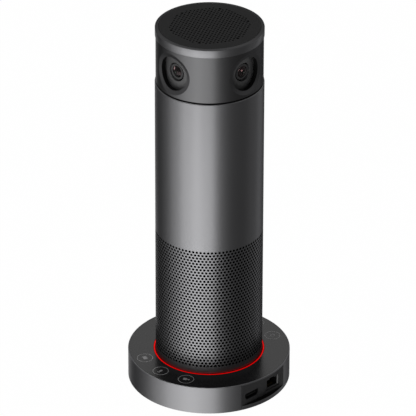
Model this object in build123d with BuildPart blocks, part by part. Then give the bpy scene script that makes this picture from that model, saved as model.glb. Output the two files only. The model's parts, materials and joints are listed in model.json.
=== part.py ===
from build123d import *
import os
from math import cos, radians, sin, sqrt

os.makedirs("parts", exist_ok=True)

# A free-standing conference camera: a round base with touch keys and sockets, a round column
# with the loudspeaker, and a head with four lenses on a drum that can turn them out of sight.
# All lengths are in millimetres. +Z is up, and the origin is where the column's axis meets
# the table. The sockets face +X, and the lenses look along +X, -X, +Y and -Y.

# Fits and clearances
body_gap = 0.3
slip_gap = 0.1
loose_gap = 0.2
thread_gap = 0.05
run_gap = 0.05
cut_over = 1.0

# Base and column: outer form
base_height = 24.2
foot_show = 0.8
sleeve_radius = 44.0
base_share = 1.5193
base_radius = sleeve_radius * base_share
sleeve_wall = 1.2
cloth_thick = 0.6
base_top = foot_show + base_height
sleeve_inner = sleeve_radius - sleeve_wall
cloth_outer = sleeve_inner - body_gap
cloth_inner = cloth_outer - cloth_thick
frame_radius = cloth_inner - slip_gap

# Base: ring, top plate and flat for the sockets
ring_wall = 2.2
rim_width = 1.0
rim_edge = 0.3
plate_thick = 1.0
plate_gap = 0.15
flat_depth = 4.45
flat_sill = 3.6
flat_web = 0.4
lip_width = 2.0
lip_thick = 2.0
ring_inner = base_radius - ring_wall
rebate_radius = base_radius - rim_width
plate_radius = rebate_radius - plate_gap
plate_low = base_top - plate_thick
port_face = base_radius - flat_depth
port_back = port_face - ring_wall
sill_top = foot_show + flat_sill
flat_top = plate_low - flat_web

# Base: bottom cover, foot and ballast
cover_thick = 2.4
cover_radius = ring_inner - slip_gap
cover_top = foot_show + cover_thick
foot_inset = 4.85
foot_width = 8.0
foot_thick = 2.0
ballast_gap = 4.65
ballast_thick = 8.0
ballast_reach = 14.0
foot_outer = base_radius - foot_inset
foot_inner = foot_outer - foot_width
ballast_radius = ring_inner - ballast_gap
ballast_top = cover_top + ballast_thick

# Base: light ring, lamps, touch board and chassis, stacked down from the top plate
light_width = 1.8
light_flange_thick = 1.0
light_flange_share = 0.51
lamp_side = 1.4
lamp_height = 0.7
lamp_count = 24
lamp_board_thick = 1.2
board_ring_gap = 0.7
touch_board_thick = 1.6
touch_board_share = 0.57
chassis_thick = 2.0
chassis_hole = 12.0
rib_width = 1.5
light_low = plate_low - light_flange_thick
lamp_low = light_low - body_gap - lamp_height
chassis_top = lamp_low - lamp_board_thick
chassis_low = chassis_top - chassis_thick
touch_board_low = plate_low - touch_board_thick
chassis_radius = ring_inner - slip_gap
light_inner = sleeve_radius + slip_gap
light_outer = light_inner + light_width
lamp_circle = light_inner + light_width / 2
lamp_board_inner = sleeve_radius + body_gap
touch_board_outer = port_back - body_gap
touch_board_inner = touch_board_outer - touch_board_share * (touch_board_outer - lamp_board_inner)
lamp_board_outer = touch_board_inner - board_ring_gap
light_flange = light_outer + light_flange_share * (touch_board_inner - light_outer)
plate_inner = light_outer + slip_gap

# Base: touch keys, printed flush with the plate. A key's radius is a share of the plate's
# width, and the sizes of its line and sign are shares of the key's radius.
key_depth = 0.2
key_step_angle = 25.5
key_angles = [side + turn * key_step_angle for side in (-90, 90) for turn in (-1, 0, 1)]
key_share = 0.3325
sign_line_share = 0.076
list_sign_shares = (0.763, 0.489)
mute_sign_shares = (0.55, 0.29)
mute_foot_share = 0.427
mute_drop_share = 0.397
view_sign_shares = (0.489, 0.427)
view_shift_share = 0.137
view_nose_share = 0.366
view_nose_shift_share = 0.29
view_nose_angle = 60
power_sign_share = 0.32
power_gap_share = 0.275
power_bar_share = 0.366
power_lift_share = 0.229
plus_sign_share = 0.55
key_circle = (plate_radius + plate_inner) / 2
key_radius = key_share * (plate_radius - plate_inner)
sign_line = sign_line_share * key_radius

# Base: screws that hold the bottom cover
screw_radius = 1.5
screw_head_radius = 2.8
screw_length = 9.0
screw_inset = 8.0
screw_angles = (60, 120, 240, 300)
screw_taper = 45
screw_head_height = screw_head_radius - screw_radius
screw_circle = foot_inner - screw_inset
boss_radius = 6.5
boss_foot_radius = 4.0

# Base: socket board
port_board_depth = 24.0
port_board_gap = 1.6
port_board_thick = 1.6
port_board_lift = 2.2
board_post_radius = 2.0
board_post_inset = 3.0
port_board_front = port_back - body_gap
port_board_half = sqrt(ring_inner**2 - port_back**2) - port_board_gap
port_board_rear = port_board_front - port_board_depth
port_board_low = cover_top + port_board_lift
port_board_top = port_board_low + port_board_thick

# Display socket, of the common kind with a flat opening cut at its lower corners
display_place = -12.75
display_width = 15.0
display_height = 5.5
display_wall = 0.4
display_depth = 11.5
display_lift = 1.4
display_corner = 2.0
display_sink = 0.2
display_back = 3.0
display_foot_width = 1.5
tongue_width = 11.0
tongue_thick = 1.4
tongue_sink = 1.0
display_low = port_board_top + display_lift
display_front = port_face - display_sink
display_rear = display_front - display_depth

# Network socket, of the common eight-pin kind
network_place = 11.65
network_width = 15.9
network_height = 10.7
network_depth = 18.0
network_sink = 0.9
network_skin = 0.4
plug_width = 11.7
plug_height = 6.9
plug_lift = 1.8
plug_depth = 13.0
latch_width = 6.0
latch_height = 1.0
contact_count = 8
contact_pitch = 1.02
contact_width = 0.45
contact_thick = 0.35
contact_rise = 1.7
contact_setback = 3.0
contact_run = 7.0
network_low = port_board_top
network_front = port_face - network_sink
network_rear = network_front - network_depth
plug_low = network_low + plug_lift
plug_top = plug_low + plug_height

# Column: sleeve and the cloth behind its holes
sleeve_rise = 247.5
sleeve_edge = 0.6
cloth_rise = 116.0
sleeve_top = base_top + sleeve_rise

# Column: frame, deck under the loudspeaker, and the long screws that clamp the stack
flange_thick = 3.0
deck_rise = 94.0
deck_thick = 3.0
pillar_radius = 2.6
rod_radius = 1.25
rod_inset = 3.2
rod_head_radius = 2.4
rod_head_height = 2.0
rod_angles = (45, 135, 225, 315)
flange_top = chassis_top + flange_thick
deck_low = base_top + deck_rise
deck_top = deck_low + deck_thick
rod_circle = frame_radius - rod_inset
pillar_circle = rod_circle - pillar_radius

# Column: loudspeaker, facing down
basket_inset = 5.6
basket_rim = 4.4
basket_lap = 2.8
basket_flange = 1.5
basket_wall = 1.2
basket_height = 15.5
basket_window = 16.0
magnet_share = 0.7879
magnet_hole_share = 0.5
pole_share = 0.3538
magnet_thick = 10.0
iron_inset = 2.0
front_iron = 3.0
back_iron = 3.5
roll_radius = 2.1
roll_thick = 0.5
cone_wall = 0.6
cone_height = 11.5
coil_gap = 0.5
coil_thick = 0.6
neck_lap = 0.3
coil_length = 14.0
cap_bulge = 3.0
basket_outer = rod_circle - basket_inset
basket_inner = basket_outer - basket_rim
deck_hole = basket_outer - basket_lap
magnet_radius = basket_outer * magnet_share
magnet_hole = magnet_radius * magnet_hole_share
pole_radius = magnet_radius * pole_share
coil_inner = pole_radius + coil_gap
coil_outer = coil_inner + coil_thick
cone_neck = coil_outer + neck_lap
plate_hole = coil_outer + coil_gap
iron_radius = magnet_radius - iron_inset
basket_low = deck_top
basket_top = basket_low + basket_flange + basket_height
roll_centre = basket_inner - roll_radius + roll_thick
cone_edge = roll_centre - roll_radius - body_gap
cone_low = basket_low - roll_thick
coil_low = cone_low + cone_height
magnet_low = basket_top + front_iron
magnet_top = magnet_low + magnet_thick

# Column: sealed box behind the loudspeaker, and the cone that spreads its sound
box_wall = 2.0
box_gap = 0.5
box_height = 64.0
box_flange = 3.0
box_outer = pillar_circle - box_gap
box_inner = box_outer - box_wall
box_step = basket_outer - basket_wall + body_gap
box_top = deck_top + box_height
diffuser_gap = 6.0
diffuser_foot = 2.0
diffuser_height = 38.0
diffuser_tip = 3.0
diffuser_curve = 60.0
diffuser_radius = pillar_circle - diffuser_gap

# Column: upper frame, processor board and heat sink
shelf_thick = 2.0
shelf_top = box_top + shelf_thick
board_place_share = -0.4663
board_half_share = 0.7513
board_thick = 1.6
board_clear = 7.0
chip_side = 20.0
chip_thick = 1.6
small_chip = 9.0
sink_clear = 6.0
sink_half_share = 0.6736
sink_base = 3.0
sink_reach_share = 0.881
fin_thick = 1.5
fin_count = 9
capacitor_radius = 3.15
capacitor_length = 8.0
capacitor_pitch = 9.5
capacitor_count = 4
board_place = board_place_share * rod_circle
board_half = board_half_share * rod_circle
sink_half = sink_half_share * rod_circle
sink_reach = sink_reach_share * rod_circle

# Flat cable from the socket board up to the processor board
cable_thick = 0.6
cable_half = 6.0
cable_radius = 4.0
cable_inset = 0.8
cable_rise = 9.0
cable_slot_depth = 1.0
cable_slot_half = 7.0
plug_box_depth = 5.0
plug_box_half = 7.0
plug_box_height = 6.0
cable_run = frame_radius - cable_inset
cable_low = ballast_top + body_gap + cable_thick / 2
cable_high = shelf_top + cable_rise

# Head: shell, cap and neck
head_step = 0.7
head_wall = 1.5
head_height = 40.0
seam_height = 1.3
cap_step = 0.2
cap_band = 6.8
cap_slope = 0.6
cap_wall = 2.5
cap_rim = 2.75
cap_ledge_width = 2.0
cap_ledge_thick = 1.1
neck_thick = 3.0
neck_rim = 1.8
neck_gap = 0.4
neck_collar_wall = 2.1
neck_collar = 3.2
neck_boss_height = 5.0
neck_boss_radius = 3.4
neck_vent_radius = 3.5
neck_vent_place = 17.0
neck_vent_angles = (30, 90, 150, 210, 270, 330)
thread_depth = 6.0
head_low = sleeve_top + seam_height
head_top = head_low + head_height
head_radius = sleeve_radius - head_step
head_inner = head_radius - head_wall
cap_radius = sleeve_radius - cap_step
neck_radius = sleeve_inner - neck_gap
neck_top = head_low - neck_rim
neck_low = neck_top - neck_thick
collar_radius = head_inner - loose_gap
collar_inner = collar_radius - neck_collar_wall
collar_top = head_low + neck_collar
boss_low = neck_low - neck_boss_height
board_top = neck_low - board_clear

# Head: drum with the lenses
liner_wall = 2.9
drum_wall = 2.4
drum_floor = 2.0
drum_gap = 1.0
drum_top_gap = 0.6
hub_radius = 9.0
hub_height = 12.0
bush_radius = 7.0
post_radius = 5.0
post_bore = 3.2
post_shoulder = 7.5
post_flange = 10.0
post_flange_thick = 2.0
lens_lift = 19.4
window_radius = 14.3
window_bevel = 3.35
window_bevel_depth = 1.2
glass_proud = 0.9
lens_set_back = 1.1
lens_ring = 6.6
groove_radius = 7.95
glass_radius = 5.0
core_radius = 3.4
glass_thick = 3.0
rear_glass_thick = 1.5
rear_glass_place = 6.5
barrel_flange = 1.2
barrel_front = 6.0
barrel_tail = 5.5
tail_length = 6.5
socket_wall = 1.6
socket_floor = 2.0
sensor_side = 18.0
sensor_thick = 1.2
lens_angles = (0, 90, 180, 270)
lens_names = ("right", "back", "left", "front")
lens_z = head_low + lens_lift
liner_radius = head_inner - slip_gap
liner_inner = liner_radius - liner_wall
drum_radius = liner_inner - body_gap - glass_proud
drum_low = collar_top + drum_gap
lens_face = drum_radius - lens_set_back
flange_face = lens_face - barrel_front
socket_face = flange_face - barrel_flange
socket_rear = socket_face - socket_floor
tail_end = socket_face - tail_length

# Head: gear train that turns the drum
gear_clear = 5.1
gear_teeth = 60
pinion_teeth = 12
gear_thick = 3.2
gear_rim = 7.0
tooth_foot_share = 0.62
tooth_pitch_share = 0.44
tooth_tip_share = 0.24
tooth_foot_depth_share = 1.2
shaft_radius = 1.5
motor_radius = 7.5
motor_length = 16.0
motor_boss_radius = 3.0
motor_boss_height = 3.6
gear_module = (collar_inner - gear_clear) / (gear_teeth / 2 + pinion_teeth + 1)
gear_bore = gear_module * gear_teeth / 2 - gear_rim
gear_centre = gear_module * (gear_teeth + pinion_teeth) / 2
gear_low = drum_low - gear_thick
pinion_low = gear_low - body_gap
pinion_high = drum_low - body_gap
motor_low = neck_low - motor_length

# Head: microphone carrier, board and grille
carrier_thick = 2.8
carrier_collar_wall = 2.0
carrier_collar = 2.0
carrier_vent_radius = 4.0
carrier_vent_place = 14.0
carrier_vent_count = 8
standoff_height = 1.0
standoff_radius = 2.0
mic_board_gap = 3.3
mic_board_lap = 1.4
mic_board_thick = 1.6
mic_length = 4.0
mic_width = 3.0
mic_height = 1.1
mic_port = 1.2
gasket_radius = 2.8
grille_thick = 1.1
grille_sink = 0.1
grille_gap = 0.15
hole_pitch = 3.15
hole_radius = 0.8
grille_margin = 8.2
open_share = 0.654
cloth_disc_thick = 0.5
carrier_low = head_top - carrier_thick
rim_low = head_top + cap_band
rim_high = rim_low + cap_slope
cap_inner = cap_radius - cap_wall
rim_inner = cap_radius - cap_rim
grille_top = rim_high - grille_sink
grille_low = grille_top - grille_thick
grille_radius = rim_inner - grille_gap
ledge_low = grille_low - cap_ledge_thick
ledge_inner = cap_inner - cap_ledge_width
hole_rows = int((grille_radius - grille_margin) / hole_pitch)
mic_circle = hole_pitch * hole_rows
hole_zone = mic_circle + mic_port
cloth_hole = open_share * mic_circle
mic_board_inner = cloth_hole + mic_board_lap
mic_board_outer = cap_inner - mic_board_gap
mic_angles = (0, 60, 120, 180, 240, 300)
mic_board_low = head_top + standoff_height
mic_low = mic_board_low + mic_board_thick
gasket_low = mic_low + mic_height
drum_top = carrier_low - drum_top_gap
post_top = head_top


def polar(circle, angle):
    """Point on a circle about the column's axis."""
    return (circle * cos(radians(angle)), circle * sin(radians(angle)))


def ring(outer, inner, low, high, mode=Mode.ADD):
    """Ring, or disc where inner is zero, about the column's axis."""
    with BuildSketch(Plane.XY.offset(low)) as face:
        Circle(outer)
        if inner > 0:
            Circle(inner, mode=Mode.SUBTRACT)
    extrude(face.sketch, amount=high - low, mode=mode)


def pins(radius, circle, angles, low, high, mode=Mode.ADD):
    """Upright round pins, or holes, spread on a circle about the column's axis."""
    with BuildSketch(Plane.XY.offset(low)) as face:
        with Locations(*[polar(circle, angle) for angle in angles]):
            Circle(radius)
    extrude(face.sketch, amount=high - low, mode=mode)


def block(x_span, y_span, z_span, mode=Mode.ADD):
    """Block between two values along each axis."""
    with BuildSketch(Plane.XY.offset(z_span[0])) as face:
        with Locations((sum(x_span) / 2, sum(y_span) / 2)):
            Rectangle(x_span[1] - x_span[0], y_span[1] - y_span[0])
    extrude(face.sketch, amount=z_span[1] - z_span[0], mode=mode)


def turned(*points):
    """Solid of revolution from (radius, height) points."""
    with BuildSketch(Plane.XZ) as profile:
        with BuildLine():
            Polyline(*points, close=True)
        make_face()
    revolve(profile.sketch, axis=Axis.Z)


def lens_plane(angle, distance):
    """Plane square to a lens axis, at a distance from the column's axis, facing out."""
    out = Vector(cos(radians(angle)), sin(radians(angle)), 0)
    along = Vector(-sin(radians(angle)), cos(radians(angle)), 0)
    return Plane(origin=out * distance + Vector(0, 0, lens_z), x_dir=along, z_dir=out)


def lens_disc(angle, radius, near, far, mode=Mode.ADD):
    """Round disc on a lens axis, between two distances from the column's axis."""
    with BuildSketch(lens_plane(angle, near)) as face:
        Circle(radius)
    extrude(face.sketch, amount=far - near, mode=mode)


def cable_slot(outer, low, high):
    """Notch that lets the flat cable pass, from its inner side out to a radius."""
    block(
        (-outer, -cable_run + cable_slot_depth),
        (-cable_slot_half, cable_slot_half),
        (low - cut_over, high + cut_over),
        mode=Mode.SUBTRACT,
    )


def keep(piece, label):
    """Labels a finished piece and writes it."""
    piece.part.label = label
    export_step(piece.part, f"parts/{label}.step")


# Rubber foot, in a groove of the bottom cover
with BuildPart() as foot_pad:
    ring(foot_outer, foot_inner, 0, foot_thick)
keep(foot_pad, "foot_pad")

# Bottom cover, with posts for the socket board
with BuildPart() as bottom_cover:
    ring(cover_radius, 0, foot_show, cover_top)
    ring(foot_outer + slip_gap, foot_inner - slip_gap, foot_show - cut_over, foot_thick, Mode.SUBTRACT)
    for x in (port_board_rear + board_post_inset, port_board_front - board_post_inset):
        for y in (-port_board_half + board_post_inset, port_board_half - board_post_inset):
            with BuildSketch(Plane.XY.offset(cover_top)) as post_face:
                with Locations((x, y)):
                    Circle(board_post_radius)
            extrude(post_face.sketch, amount=port_board_lift)
    with Locations(*[Location((*polar(screw_circle, a), foot_show), (180, 0, 0)) for a in screw_angles]):
        CounterSinkHole(
            screw_radius + slip_gap,
            screw_head_radius + slip_gap,
            cover_thick + cut_over,
            counter_sink_angle=2 * screw_taper,
        )
keep(bottom_cover, "bottom_cover")

# Countersunk screws of the bottom cover
with BuildPart() as bottom_screws:
    for angle in screw_angles:
        x, y = polar(screw_circle, angle)
        with BuildSketch(Plane.XY.offset(foot_show)) as head_face:
            with Locations((x, y)):
                Circle(screw_head_radius)
        extrude(head_face.sketch, amount=screw_head_height, taper=screw_taper)
        with BuildSketch(Plane.XY.offset(foot_show)) as shank:
            with Locations((x, y)):
                Circle(screw_radius)
        extrude(shank.sketch, amount=screw_length)
keep(bottom_screws, "bottom_screws")

# Steel weight in the back of the base, which keeps the tall column steady
with BuildPart() as ballast_plate:
    ring(ballast_radius, 0, cover_top, ballast_top)
    block(
        (ballast_reach, ballast_radius + cut_over),
        (-ballast_radius, ballast_radius),
        (cover_top, ballast_top),
        mode=Mode.SUBTRACT,
    )
    pins(boss_foot_radius + slip_gap, screw_circle, screw_angles, cover_top, ballast_top, Mode.SUBTRACT)
keep(ballast_plate, "ballast_plate")


def socket_plane(distance):
    """Upright plane facing the sockets' side, with its first direction along Y."""
    return Plane(origin=(distance, 0, 0), x_dir=(0, 1, 0), z_dir=(1, 0, 0))


def display_outline(grow, near, far, mode=Mode.ADD):
    """Outline of the display socket, grown by a clearance, between two distances."""
    half = display_width / 2 + grow
    low = display_low - grow
    high = display_low + display_height + grow
    corners = (
        (-half, high),
        (half, high),
        (half, low + display_corner),
        (half - display_corner, low),
        (-half + display_corner, low),
        (-half, low + display_corner),
    )
    with BuildSketch(socket_plane(near)) as face:
        with BuildLine():
            Polyline(*[(display_place + y, z) for y, z in corners], close=True)
        make_face()
    extrude(face.sketch, amount=far - near, mode=mode)


def plug_outline(near, far):
    """Cuts the network plug's way in, with the latch's notch at the top."""
    with BuildSketch(socket_plane(near)) as face:
        with Locations((network_place, plug_low + plug_height / 2)):
            Rectangle(plug_width, plug_height)
        with Locations((network_place, plug_top + latch_height / 2)):
            Rectangle(latch_width, latch_height)
    extrude(face.sketch, amount=far - near, mode=Mode.SUBTRACT)


# Outer ring of the base, with a flat for the sockets and a lip that carries the chassis
with BuildPart() as base_ring:
    ring(base_radius, ring_inner, foot_show, plate_low)
    ring(base_radius, rebate_radius, plate_low, base_top)
    ring(rebate_radius, ring_inner - lip_width, chassis_low - lip_thick, chassis_low)
    with BuildSketch(Plane.XY.offset(cover_top + slip_gap)) as flat_face:
        Circle(base_radius)
        with Locations((port_back - base_radius, 0)):
            Rectangle(2 * base_radius, 2 * base_radius, mode=Mode.SUBTRACT)
    extrude(flat_face.sketch, amount=plate_low - cover_top - slip_gap)
    block(
        (port_face, base_radius + cut_over),
        (-base_radius, base_radius),
        (sill_top, flat_top),
        mode=Mode.SUBTRACT,
    )
    display_outline(loose_gap, port_back - cut_over, port_face + cut_over, Mode.SUBTRACT)
    block(
        (port_back - cut_over, port_face + cut_over),
        (
            network_place - network_width / 2 - loose_gap,
            network_place + network_width / 2 + loose_gap,
        ),
        (network_low - loose_gap, network_low + network_height + loose_gap),
        mode=Mode.SUBTRACT,
    )
    rim_edges = base_ring.edges().filter_by(GeomType.CIRCLE).group_by(Axis.Z)[-1]
    chamfer(rim_edges.sort_by(SortBy.RADIUS)[-1], rim_edge)
keep(base_ring, "base_ring")

# Chassis: carries the boards and the column, and stands on the cover through four bosses
with BuildPart() as base_chassis:
    ring(chassis_radius, chassis_hole, chassis_low, chassis_top)
    block(
        (port_back - body_gap, base_radius),
        (-base_radius, base_radius),
        (chassis_low, chassis_top),
        mode=Mode.SUBTRACT,
    )
    ring(touch_board_inner + rib_width, touch_board_inner, chassis_top, touch_board_low)
    ring(touch_board_outer, touch_board_outer - rib_width, chassis_top, touch_board_low)
    pins(boss_radius, screw_circle, screw_angles, ballast_top, chassis_low)
    pins(boss_foot_radius, screw_circle, screw_angles, cover_top, ballast_top)
    pins(
        screw_radius + thread_gap,
        screw_circle,
        screw_angles,
        cover_top,
        foot_show + screw_length + slip_gap,
        Mode.SUBTRACT,
    )
    pins(rod_radius + slip_gap, rod_circle, rod_angles, chassis_low, chassis_top, Mode.SUBTRACT)
    cable_slot(cable_run + cable_slot_depth, chassis_low, chassis_top)
keep(base_chassis, "base_chassis")

# Signs on the touch keys, each drawn about its key's centre with its top toward the column


def in_key(*shares):
    """Lengths from shares of a key's radius."""
    return [share * key_radius for share in shares]


def list_sign():
    """Filled block."""
    RectangleRounded(*in_key(*list_sign_shares), sign_line)


def mute_sign():
    """Upright capsule on a foot."""
    SlotOverall(*in_key(*mute_sign_shares), rotation=90)
    foot_width, foot_drop = in_key(mute_foot_share, mute_drop_share)
    with Locations((0, -foot_drop)):
        Rectangle(foot_width, sign_line)


def view_sign():
    """Block with a small triangle beside it."""
    shift, nose_side, nose_shift = in_key(view_shift_share, view_nose_share, view_nose_shift_share)
    with Locations((-shift, 0)):
        RectangleRounded(*in_key(*view_sign_shares), sign_line)
    with Locations((nose_shift, 0)):
        Triangle(
            a=nose_side,
            B=view_nose_angle,
            C=view_nose_angle,
            rotation=90,
            align=(Align.CENTER, Align.CENTER),
        )


def power_sign():
    """Open ring with an upright bar in its gap."""
    outer, gap, bar, lift = in_key(power_sign_share, power_gap_share, power_bar_share, power_lift_share)
    with BuildSketch(mode=Mode.PRIVATE) as arc:
        Circle(outer)
        Circle(outer - sign_line, mode=Mode.SUBTRACT)
        with Locations((0, outer)):
            Rectangle(gap, outer, mode=Mode.SUBTRACT)
    add(arc.sketch)
    with Locations((0, lift)):
        Rectangle(sign_line, bar)


def plus_sign():
    """Upright cross."""
    (width,) = in_key(plus_sign_share)
    Rectangle(width, sign_line)
    Rectangle(sign_line, width)


def minus_sign():
    """Flat bar."""
    (width,) = in_key(plus_sign_share)
    Rectangle(width, sign_line)


signs = (list_sign, mute_sign, view_sign, power_sign, plus_sign, minus_sign)
with BuildSketch(Plane.XY.offset(base_top - key_depth)) as key_prints:
    for angle, sign in zip(key_angles, signs):
        with Locations(Location((*polar(key_circle, angle), 0), (0, 0, angle + 90))):
            Circle(key_radius)
            Circle(key_radius - sign_line, mode=Mode.SUBTRACT)
            sign()

# Printed rings and signs of the touch keys, let into the plate
with BuildPart() as touch_marks:
    extrude(key_prints.sketch, amount=key_depth)
keep(touch_marks, "touch_marks")

# Dark plate on top of the base
with BuildPart() as base_top_plate:
    ring(plate_radius, plate_inner, plate_low, base_top)
    extrude(key_prints.sketch, amount=key_depth, mode=Mode.SUBTRACT)
keep(base_top_plate, "base_top_plate")

# Light guide round the foot of the column, hooked under the plate
with BuildPart() as light_ring:
    ring(light_outer, light_inner, light_low, base_top)
    ring(light_flange, light_inner, light_low, plate_low)
keep(light_ring, "light_ring")

# Lamp board and its lamps, under the light guide
with BuildPart() as lamp_board:
    ring(lamp_board_outer, lamp_board_inner, chassis_top, lamp_low)
keep(lamp_board, "lamp_board")

with BuildPart() as lamps:
    with BuildSketch(Plane.XY.offset(lamp_low)) as lamp_faces:
        with PolarLocations(lamp_circle, lamp_count):
            Rectangle(lamp_side, lamp_side)
    extrude(amount=lamp_height)
keep(lamps, "lamps")

# Touch sensing board, against the underside of the plate
with BuildPart() as touch_board:
    ring(touch_board_outer, touch_board_inner, touch_board_low, plate_low)
keep(touch_board, "touch_board")

# Socket board
with BuildPart() as port_board:
    block(
        (port_board_rear, port_board_front),
        (-port_board_half, port_board_half),
        (port_board_low, port_board_top),
    )
keep(port_board, "port_board")

# Display socket: metal shell on two feet, and the insulated tongue inside
with BuildPart() as display_shell:
    display_outline(0, display_rear, display_front)
    display_outline(-display_wall, display_rear - cut_over, display_front + cut_over, Mode.SUBTRACT)
    for side in (-1, 1):
        foot_edge = display_place + side * (display_width / 2 - display_corner)
        block(
            (display_rear, display_front - display_back),
            sorted((foot_edge, foot_edge - side * display_foot_width)),
            (port_board_top, display_low + display_wall),
        )
keep(display_shell, "display_shell")

with BuildPart() as display_tongue:
    display_outline(-display_wall - thread_gap, display_rear, display_rear + display_back)
    block(
        (display_rear, display_front - tongue_sink),
        (display_place - tongue_width / 2, display_place + tongue_width / 2),
        (
            display_low + display_height / 2 - tongue_thick / 2,
            display_low + display_height / 2 + tongue_thick / 2,
        ),
    )
keep(display_tongue, "display_tongue")

# Network socket: metal shield, insulated body with the plug's cavity, and eight contacts
network_sides = (network_place - network_width / 2, network_place + network_width / 2)
network_top = network_low + network_height
with BuildPart() as network_shield:
    block((network_rear, network_front), network_sides, (network_low, network_top))
    block(
        (network_rear - cut_over, network_front - network_skin),
        (network_sides[0] + network_skin, network_sides[1] - network_skin),
        (network_low - cut_over, network_top - network_skin),
        mode=Mode.SUBTRACT,
    )
    plug_outline(network_front - network_skin - cut_over, network_front + cut_over)
keep(network_shield, "network_shield")

network_body_front = network_front - network_skin
with BuildPart() as network_body:
    block(
        (network_rear, network_body_front),
        (
            network_sides[0] + network_skin + slip_gap,
            network_sides[1] - network_skin - slip_gap,
        ),
        (network_low, network_top - network_skin - slip_gap),
    )
    plug_outline(network_front - plug_depth, network_front + cut_over)
keep(network_body, "network_body")

with BuildPart() as network_contacts:
    contact_front = network_front - contact_setback
    contact_rear = contact_front - contact_run
    for number in range(contact_count):
        place = network_place + (number - (contact_count - 1) / 2) * contact_pitch
        with BuildSketch(Plane.XZ.offset(-place)) as contact_face:
            with BuildLine():
                Polyline(
                    (contact_front, plug_low),
                    (contact_front, plug_low + contact_thick),
                    (contact_rear, plug_low + contact_thick + contact_rise),
                    (contact_rear, plug_low + contact_rise),
                    close=True,
                )
            make_face()
        extrude(contact_face.sketch, amount=contact_width / 2, both=True)
keep(network_contacts, "network_contacts")

# Flat cable from the socket board, along the back of the column, to the processor board
with BuildPart() as flat_cable:
    with BuildSketch(Plane.XZ) as cable_face:
        with BuildLine() as cable_path:
            FilletPolyline(
                (port_board_rear, cable_low),
                (-cable_run, cable_low),
                (-cable_run, cable_high),
                (board_place - plug_box_depth, cable_high),
                radius=cable_radius,
            )
        trace(line_width=cable_thick)
    extrude(cable_face.sketch, amount=cable_half, both=True)
keep(flat_cable, "flat_cable")

# Sleeve of the column, which stands on the chassis, and the cloth behind its sound holes
with BuildPart() as body_sleeve:
    ring(sleeve_radius, sleeve_inner, chassis_top, sleeve_top)
    top_edges = body_sleeve.edges().filter_by(GeomType.CIRCLE).group_by(Axis.Z)[-1]
    fillet(top_edges.sort_by(SortBy.RADIUS)[-1], sleeve_edge)
keep(body_sleeve, "body_sleeve")

with BuildPart() as sleeve_cloth:
    ring(cloth_outer, cloth_inner, flange_top, flange_top + cloth_rise)
keep(sleeve_cloth, "sleeve_cloth")

# Column frame: a flange on the chassis, four pillars and the deck of the loudspeaker
with BuildPart() as column_frame:
    ring(cloth_outer, chassis_hole, chassis_top, flange_top)
    pins(pillar_radius, rod_circle, rod_angles, flange_top, deck_low)
    ring(frame_radius, deck_hole, deck_low, deck_top)
    pins(rod_radius + slip_gap, rod_circle, rod_angles, chassis_top, deck_top, Mode.SUBTRACT)
    cable_slot(sleeve_inner, chassis_top, flange_top)
    cable_slot(sleeve_inner, deck_low, deck_top)
keep(column_frame, "column_frame")

# Cone under the loudspeaker that spreads its sound all round
with BuildPart() as sound_diffuser:
    diffuser_top = flange_top + diffuser_height
    with BuildSketch(Plane.XZ) as diffuser_profile:
        with BuildLine():
            foot = Polyline(
                (diffuser_tip, diffuser_top),
                (0, diffuser_top),
                (0, flange_top),
                (diffuser_radius, flange_top),
                (diffuser_radius, flange_top + diffuser_foot),
            )
            RadiusArc(foot @ 1, foot @ 0, diffuser_curve)
        make_face()
    revolve(diffuser_profile.sketch, axis=Axis.Z)
keep(sound_diffuser, "sound_diffuser")

# Loudspeaker: basket with four windows
with BuildPart() as speaker_basket:
    leg_outer = basket_outer - basket_wall
    flange_level = basket_low + basket_flange
    rim_hole = plate_hole + basket_wall
    turned(
        (basket_inner, basket_low),
        (basket_outer, basket_low),
        (basket_outer, flange_level),
        (leg_outer, flange_level),
        (iron_radius, basket_top),
        (rim_hole, basket_top),
        (rim_hole, basket_top - basket_wall),
        (iron_radius - basket_wall, basket_top - basket_wall),
        (leg_outer - basket_wall, flange_level),
        (basket_inner, flange_level),
    )
    window_low = flange_level + basket_flange
    window_high = basket_top - 2 * basket_wall
    for x_half, y_half in (
        (basket_outer, basket_window / 2),
        (basket_window / 2, basket_outer),
    ):
        block((-x_half, x_half), (-y_half, y_half), (window_low, window_high), mode=Mode.SUBTRACT)
keep(speaker_basket, "speaker_basket")

# Loudspeaker: rubber roll round the cone
with BuildPart() as speaker_surround:
    with BuildSketch(Plane.XZ) as roll_profile:
        with Locations((roll_centre, basket_low)):
            Circle(roll_radius)
            Circle(roll_radius - roll_thick, mode=Mode.SUBTRACT)
            Rectangle(
                2 * roll_radius,
                roll_radius,
                align=(Align.CENTER, Align.MIN),
                mode=Mode.SUBTRACT,
            )
        with Locations((basket_inner, basket_low - roll_thick)):
            Rectangle(deck_hole - slip_gap - basket_inner, roll_thick, align=Align.MIN)
    revolve(roll_profile.sketch, axis=Axis.Z)
keep(speaker_surround, "speaker_surround")

# Loudspeaker: cone with its dust cap, moving with the voice coil
with BuildPart() as speaker_cone:
    turned(
        (cone_edge, cone_low),
        (cone_neck, coil_low),
        (coil_inner, coil_low),
        (cone_edge - 2 * cone_wall, cone_low),
    )
    turned(
        (0, coil_low - cap_bulge),
        (0, coil_low - cap_bulge + cone_wall),
        (coil_inner, coil_low),
        (coil_inner + cone_wall, coil_low),
    )
keep(speaker_cone, "speaker_cone")

with BuildPart() as voice_coil:
    ring(coil_outer, coil_inner, coil_low, coil_low + coil_length)
keep(voice_coil, "voice_coil")

# Loudspeaker: magnet between its iron plates, and the pole inside the coil
with BuildPart() as speaker_magnet:
    ring(magnet_radius, magnet_hole, magnet_low, magnet_top)
keep(speaker_magnet, "speaker_magnet")

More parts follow.
